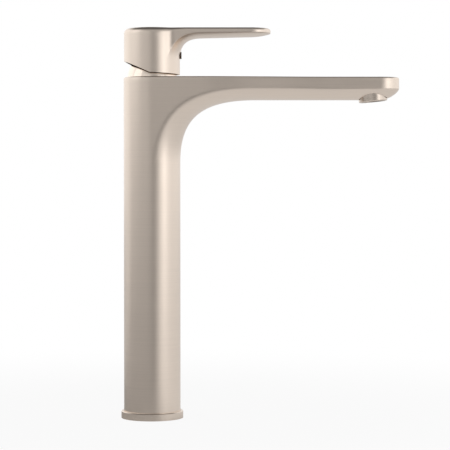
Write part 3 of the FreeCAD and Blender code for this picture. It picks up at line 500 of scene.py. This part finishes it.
def handle_wall(x):
    if x < GUSSET_START_X:
        return math.sqrt(HUB_R**2 - x**2)
    if x < GUSSET_X:
        return GUSSET_Y - math.sqrt(GUSSET_R**2 - (GUSSET_X - x) ** 2)
    return LEVER_HALF_WIDTH


def handle_top_edge(x):
    return HUB_RIM_R + (LEVER_TOP_EDGE_R - HUB_RIM_R) * smooth_step(x, *RIM_FADE)


def lever_rise(x, share):
    start = HUB_R - GUSSET_START_X
    level = min(max((x - LEVER_ROOT_X) / (LEVER_END_X - LEVER_ROOT_X), 0), 1)
    run = LEVER_ROOT_RISE + (LEVER_TIP_RISE - LEVER_ROOT_RISE) * level
    return run + (start - LEVER_ROOT_RISE) * (1 - share) ** 2


def lever_arm():
    slope = (LEVER_TIP_Z - LEVER_ROOT_Z) / (LEVER_END_X - LEVER_ROOT_X)
    curve = (
        Vector((HUB_R, 0, LEVER_START_Z)),
        Vector((HUB_R, 0, LEVER_START_Z + LEVER_LOW_PULL)),
        Vector((LEVER_ROOT_X - LEVER_HIGH_PULL, 0, LEVER_ROOT_Z - slope * LEVER_HIGH_PULL)),
        Vector((LEVER_ROOT_X, 0, LEVER_ROOT_Z)),
    )
    return Arm(
        curve,
        Vector((LEVER_NOSE_X, 0, LEVER_TIP_Z)),
        handle_wall,
        HANDLE_TOP,
        handle_top_edge,
        lever_rise,
        lambda x, share: LEVER_UNDER_EDGE_R,
        HUB_R,
        LEVER_LEVEL_STEPS,
    )


def hub_rim_z(x):
    if x > HUB_CORNER_X:
        return HUB_CORNER_Z - (x - HUB_CORNER_X) * HUB_FRONT_SLOPE
    return HUB_CORNER_Z + (HUB_CORNER_X - x) * HUB_BACK_SLOPE


def build_handle():
    arm = lever_arm()
    closed, open_rows = arm.rows(LEVER_BEND_STEPS)
    foot_row = closed[0]
    hub = []
    for step in range(HUB_STEPS):
        share = step / HUB_STEPS
        hub.append(
            [Vector((p.x, p.y, hub_rim_z(p.x) * (1 - share) + p.z * share)) for p in foot_row]
        )
    tip = tip_rows(open_rows[-1], LEVER_NOSE_X, 1)
    half = arm_grids(arm, hub, closed, open_rows, tip)
    hollow = [
        scaled_ring(foot_row, HUB_BORE_R, hub_rim_z),
        scaled_ring(foot_row, HUB_BORE_R, HUB_CEILING),
        scaled_ring(foot_row, CENTRE_R, HUB_CEILING),
    ]
    half.grid([hub[0]] + hollow)
    handle = half.finish("satin_lever")
    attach(handle, "lever")
    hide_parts("lever_handle")
    return handle


# ---------------------------------------------------------------- materials

WARM_NICKEL = (0.80, 0.696, 0.605)
# lines per metre along X, Y and Z
BODY_GRAIN = (14.0, 14.0, 1300.0)
HANDLE_GRAIN = (84.0, 1500.0, 1500.0)
TURNED_GRAIN = (14.0, 14.0, 1500.0)
SPECKS = (900, 900, 900)
# patches of uneven gloss per metre
METAL_PATCHES = (38, 38, 38)
PLAIN_PATCHES = (60, 60, 60)

# the values that noise mostly takes
NOISE_SPREAD = (0.3, 0.7)
LINE_DETAIL = 5.0
LINE_ROUGHNESS = 0.65
LINE_BUMP = 0.5
# how much of the lines' contrast goes above the metal's own shade
LINE_LIGHT = 0.4
METAL_UNEVENNESS = 0.012
PLAIN_SHADES = (0.92, 1.05)
PLAIN_UNEVENNESS = (-0.05, 0.06)
SPECK_DEPTH = 0.02 * MM
SPECK_BUMP = 0.4


class Material:
    """A material under construction: its nodes, links and shader."""

    def __init__(self, name, metallic):
        self.material = bpy.data.materials.new(name)
        self.material.use_nodes = True
        self.nodes = self.material.node_tree.nodes
        self.links = self.material.node_tree.links
        self.shader = self.nodes["Principled BSDF"]
        self.shader.inputs["Metallic"].default_value = metallic
        self.place = self.nodes.new("ShaderNodeTexCoord").outputs["Object"]

    def noise(self, scale, detail=3.0, roughness=0.5):
        """Noise over the object's own place, with a scale for each axis, in features per metre."""
        spread = self.nodes.new("ShaderNodeMapping")
        spread.inputs["Scale"].default_value = scale
        self.links.new(self.place, spread.inputs["Vector"])
        noise = self.nodes.new("ShaderNodeTexNoise")
        noise.inputs["Scale"].default_value = 1.0
        noise.inputs["Detail"].default_value = detail
        noise.inputs["Roughness"].default_value = roughness
        self.links.new(spread.outputs["Vector"], noise.inputs["Vector"])
        return noise.outputs["Fac"]

    def between(self, noise, low, high):
        """The noise brought to low..high."""
        remap = self.nodes.new("ShaderNodeMapRange")
        remap.inputs["From Min"].default_value = NOISE_SPREAD[0]
        remap.inputs["From Max"].default_value = NOISE_SPREAD[1]
        remap.inputs["To Min"].default_value = low
        remap.inputs["To Max"].default_value = high
        self.links.new(noise, remap.inputs["Value"])
        return remap.outputs["Result"]

    def shades(self, noise, low, high):
        """The noise brought to a ramp between two shades."""
        ramp = self.nodes.new("ShaderNodeValToRGB")
        stops = ramp.color_ramp.elements
        for stop, position, colour in zip(stops, NOISE_SPREAD, (low, high)):
            stop.position = position
            stop.color = (*colour, 1)
        self.links.new(noise, ramp.inputs["Fac"])
        return ramp.outputs["Color"]

    def bump(self, noise, distance, strength):
        step = self.nodes.new("ShaderNodeBump")
        step.inputs["Distance"].default_value = distance
        step.inputs["Strength"].default_value = strength
        self.links.new(noise, step.inputs["Height"])
        self.links.new(step.outputs["Normal"], self.shader.inputs["Normal"])

    def drive(self, socket, value):
        self.links.new(value, self.shader.inputs[socket])


def tint(colour, factor):
    return tuple(channel * factor for channel in colour)


def brushed_metal(name, colour, grain, rough, contrast, depth):
    """Metal with fine lines, which vary its shade and gloss by their contrast."""
    made = Material(name, metallic=1.0)
    lines = made.noise(grain, LINE_DETAIL, LINE_ROUGHNESS)
    patches = made.noise(METAL_PATCHES)
    dark = tint(colour, 1 - contrast)
    light = tint(colour, 1 + contrast * LINE_LIGHT)
    made.drive("Base Color", made.shades(lines, dark, light))
    blend = made.nodes.new("ShaderNodeMath")
    blend.operation = "ADD"
    made.links.new(made.between(lines, rough - contrast, rough + contrast), blend.inputs[0])
    uneven = made.between(patches, -METAL_UNEVENNESS, METAL_UNEVENNESS)
    made.links.new(uneven, blend.inputs[1])
    made.drive("Roughness", blend.outputs["Value"])
    made.bump(lines, depth, LINE_BUMP)
    return made.material


def plain_material(name, colour, rough, metallic=0.0, grain=SPECKS):
    """A moulded, turned or cast surface with a faint texture and uneven gloss."""
    made = Material(name, metallic)
    specks = made.noise(grain)
    patches = made.noise(PLAIN_PATCHES)
    dark, light = (tint(colour, factor) for factor in PLAIN_SHADES)
    made.drive("Base Color", made.shades(patches, dark, light))
    low, high = (rough + change for change in PLAIN_UNEVENNESS)
    made.drive("Roughness", made.between(patches, low, high))
    made.bump(specks, SPECK_DEPTH, SPECK_BUMP)
    return made.material


# the dome's nickel is the body's nickel painted lighter, painted light that brightens its
# reflections; its polish is only its lower roughness
PAINTED_LIGHTER_DOME_NICKEL = tint(WARM_NICKEL, 1.16)
# the aerator's nickel is the body's nickel painted darker, painted shade that dims its reflections
PAINTED_DARKER_AERATOR_NICKEL = tint(WARM_NICKEL, 0.87)

# by slot: name, colour, grain, roughness, contrast and depth of the lines
BRUSHED_METALS = {
    "brushed_shell": ("brushed_nickel", WARM_NICKEL, BODY_GRAIN, 0.32, 0.035, 0.0015 * MM),
    "satin_handle": ("satin_nickel", WARM_NICKEL, HANDLE_GRAIN, 0.33, 0.012, 0.0001 * MM),
    "polished_dome": ("polished_nickel_painted_lighter", PAINTED_LIGHTER_DOME_NICKEL, TURNED_GRAIN, 0.12, 0.03, 0),
    "aerator_metal": ("aerator_nickel_painted_shade", PAINTED_DARKER_AERATOR_NICKEL, TURNED_GRAIN, 0.28, 0.05, 0.004 * MM),
}

# by slot: name, colour and roughness, and for metals how metallic and the grain
PLAIN_MATERIALS = {
    "dark_plug": ("plug_plastic", (0.10, 0.065, 0.04), 0.30),
    "outlet_plastic": ("outlet_plastic", (0.075, 0.07, 0.065), 0.45),
    "brass_parts": ("turned_brass", (0.72, 0.56, 0.29), 0.30, 1.0, TURNED_GRAIN),
    "cartridge_plastic": ("moulded_plastic", (0.62, 0.63, 0.64), 0.50),
    "ceramic": ("lapped_ceramic", (0.86, 0.86, 0.83), 0.15),
    "seal_rubber": ("seal_rubber", (0.02, 0.02, 0.02), 0.65),
    "steel_parts": ("turned_steel", (0.58, 0.58, 0.59), 0.32, 1.0, TURNED_GRAIN),
}


def make_materials():
    materials = {slot: brushed_metal(*values) for slot, values in BRUSHED_METALS.items()}
    for slot, values in PLAIN_MATERIALS.items():
        materials[slot] = plain_material(*values)
    return materials


def dress(materials, body, handle):
    """Gives every piece the material of its slot in the record."""
    for part in frame["record"]["subparts"]:
        node = nodes[part["node"]]
        if not node.material_slots:
            node.data.materials.append(None)
        for holder in node.material_slots:
            holder.material = materials[part["material_slot"]]
    for piece, slot in ((body, "brushed_shell"), (handle, "satin_handle")):
        piece.data.materials.clear()
        piece.data.materials.append(materials[slot])


# ---------------------------------------------------------------- studio

FLOOR_SIZE = 12.0
FLOOR_GAP = 0.2 * MM
# how white the floor is where it is seen, and where it only lights the object
FLOOR_WHITE = 0.95
FLOOR_TONE = 0.64
# the seen floor is this much matt, which shows the shadow, and the rest is pure white
FLOOR_SHADOW_SHARE = 0.09
# the floor turns into the white backdrop between these distances from the column
FLOOR_FADE = (0.12, 0.60)
# the metal sees the floor brighten to the right and to the back: the direction, where it starts,
# where it is full, and its share of white there
SWEEPS = (
    ((0.93, 0.37, 0.0), -0.06, 0.08, 0.62),
    ((0.0, 1.0, 0.0), 0.06, 0.40, 0.36),
)

# how bright the studio is where no wall stands
FRONT_LEVEL = 0.37
# the backdrop that the metal shows: direction, and the cosines where it starts and is full
BACKDROP = ((0.3, 1.0, 0.05), 0.78, 0.95)
# the studio's walls: direction from the object, the cosines where the wall starts and where it is
# full, and its brightness; a later wall covers an earlier one
STUDIO_WALLS = (
    ("left", (-0.95, -0.25, 0.20), 0.35, 0.90, 0.86),
    ("front_left", (-0.55, -0.80, 0.15), 0.75, 0.95, 0.76),
    ("right", (0.95, 0.30, 0.20), 0.30, 0.85, 1.13),
    ("front_right", (0.80, -0.60, 0.00), 0.86, 0.97, 1.60),
    ("upper_right", (0.60, -0.45, 0.66), 0.75, 0.90, 0.62),
    ("front_above", (0.0, -0.60, 0.80), 0.70, 0.93, 0.46),
    ("back_left", (-0.65, 0.75, 0.15), 0.60, 0.90, 1.2),
    ("ceiling", (0.0, 0.15, 0.99), 0.62, 0.80, 0.09),
)

# name, place, width, height and power of the soft boxes
STUDIO_LAMPS = (
    ("strip", (1.15, -0.88, 0.34), 0.45, 0.6, 0.5),
    ("left_box", (-0.95, -0.35, 0.75), 0.8, 0.8, 0.74),
)

CAMERA_PLACE = (0.0593, -1.400, 0.1945)
CAMERA_TILT = math.radians(-1.535)
LENS = 137.6
SENSOR = 36.0


class Tree:
    """Shorthand for the nodes of a world or a stage material."""

    def __init__(self, owner):
        owner.use_nodes = True
        self.tree = owner.node_tree
        self.tree.nodes.clear()

    def node(self, kind, **settings):
        made = self.tree.nodes.new(kind)
        for name, value in settings.items():
            setattr(made, name, value)
        return made

    def feed(self, socket, value):
        """Gives a socket a value of its own or the output of another node."""
        if isinstance(value, bpy.types.NodeSocket):
            self.tree.links.new(value, socket)
        else:
            socket.default_value = value

    def math(self, operation, *values):
        step = self.node("ShaderNodeMath", operation=operation)
        for socket, value in zip(step.inputs, values):
            self.feed(socket, value)
        return step.outputs["Value"]

    def ramp(self, value, start, full, low=0.0, high=1.0, kind="SMOOTHSTEP"):
        """Rises from low, where the value is at start, to high, where it is full."""
        step = self.node("ShaderNodeMapRange", interpolation_type=kind)
        self.feed(step.inputs["Value"], value)
        self.feed(step.inputs["From Min"], start)
        self.feed(step.inputs["From Max"], full)
        self.feed(step.inputs["To Min"], low)
        self.feed(step.inputs["To Max"], high)
        return step.outputs["Result"]

    def along(self, place, direction):
        """How far a place lies along a direction."""
        dot = self.node("ShaderNodeVectorMath", operation="DOT_PRODUCT")
        self.feed(dot.inputs[0], place)
        self.feed(dot.inputs[1], direction)
        return dot.outputs["Value"]

    def facing(self, direction, towards, start, full):
        """1 where a direction is near towards, falling smoothly to 0."""
        return self.ramp(self.along(direction, Vector(towards).normalized()), start, full)

    def seen(self, path):
        """1 for the rays that see the stage itself, straight or through glass."""
        return self.math("MAXIMUM", path["Is Camera Ray"], path["Is Transmission Ray"])

    def background(self, strength):
        made = self.node("ShaderNodeBackground")
        self.feed(made.inputs["Color"], (1, 1, 1, 1))
        self.feed(made.inputs["Strength"], strength)
        return made.outputs["Background"]

    def output(self, kind, share, first, second):
        """Mixes two shaders by a share of the second and sends them to the output."""
        mix = self.node("ShaderNodeMixShader")
        self.feed(mix.inputs["Fac"], share)
        self.feed(mix.inputs[1], first)
        self.feed(mix.inputs[2], second)
        self.feed(self.node(kind).inputs["Surface"], mix.outputs["Shader"])


def floor_material():
    """Matt white with the object's shadow, which turns into pure white away from the object."""
    material = bpy.data.materials.new("floor_white")
    tree = Tree(material)
    path = tree.node("ShaderNodeLightPath").outputs
    place = tree.node("ShaderNodeTexCoord").outputs["Object"]
    seen = tree.seen(path)
    matt = tree.node("ShaderNodeBsdfDiffuse")
    tree.feed(matt.inputs["Color"], tree.ramp(seen, 0, 1, FLOOR_TONE, FLOOR_WHITE, "LINEAR"))
    white = tree.node("ShaderNodeEmission").outputs["Emission"]
    away = tree.node("ShaderNodeVectorMath", operation="LENGTH")
    tree.feed(away.inputs[0], place)
    fade = tree.ramp(away.outputs["Value"], *FLOOR_FADE, low=1 - FLOOR_SHADOW_SHARE)
    swept = 0.0
    for towards, start, full, white_share in SWEEPS:
        sweep = tree.ramp(tree.along(place, towards), start, full, high=white_share)
        swept = tree.math("MAXIMUM", sweep, swept)
    mirrored = tree.math("MULTIPLY", path["Is Glossy Ray"], swept)
    share = tree.math("MAXIMUM", tree.math("MULTIPLY", seen, fade), mirrored)
    tree.output("ShaderNodeOutputMaterial", share, matt.outputs["BSDF"], white)
    return material


def build_floor():
    half = FLOOR_SIZE / 2
    corners = [(x * half, y * half, 0) for x, y in ((-1, -1), (1, -1), (1, 1), (-1, 1))]
    data = bpy.data.meshes.new("floor")
    data.from_pydata(corners, [], [(0, 1, 2, 3)])
    data.materials.append(floor_material())
    floor = add_object("floor", data)
    floor.location.z = -FLOOR_GAP


def build_world():
    """A white backdrop, which the metal shows too, and the studio's walls round the rest."""
    world = bpy.data.worlds.new("studio")
    bpy.context.scene.world = world
    tree = Tree(world)
    path = tree.node("ShaderNodeLightPath").outputs
    direction = tree.node("ShaderNodeTexCoord").outputs["Generated"]
    level = FRONT_LEVEL
    for name, towards, start, full, bright in STUDIO_WALLS:
        wall = tree.node("ShaderNodeMix", data_type="FLOAT", name=name)
        tree.feed(wall.inputs["Factor"], tree.facing(direction, towards, start, full))
        tree.feed(wall.inputs["A"], level)
        tree.feed(wall.inputs["B"], bright)
        level = wall.outputs["Result"]
    mirrored = tree.math("MULTIPLY", path["Is Glossy Ray"], tree.facing(direction, *BACKDROP))
    share = tree.math("MAXIMUM", tree.seen(path), mirrored)
    walls = tree.background(level)
    white = tree.background(1.0)
    tree.output("ShaderNodeOutputWorld", share, walls, white)


def soft_box(name, place, width, height, power):
    """A soft light that aims level at the column's axis."""
    data = bpy.data.lights.new(name, "AREA")
    data.shape = "RECTANGLE"
    data.size = width
    data.size_y = height
    data.energy = power
    lamp = add_object(name, data)
    lamp.location = place
    course = Vector((0, 0, place[2])) - Vector(place)
    lamp.rotation_euler = course.to_track_quat("-Z", "Y").to_euler()


def build_camera():
    data = bpy.data.cameras.new("view")
    data.lens = LENS
    data.sensor_width = SENSOR
    camera = add_object("view", data)
    camera.location = CAMERA_PLACE
    camera.rotation_euler = (math.pi / 2 + CAMERA_TILT, 0, 0)
    bpy.context.scene.camera = camera


# ---------------------------------------------------------------- scene

dress(make_materials(), build_body(), build_handle())
build_floor()
build_world()
for lamp in STUDIO_LAMPS:
    soft_box(*lamp)
build_camera()
bpy.context.scene.view_settings.view_transform = "Standard"
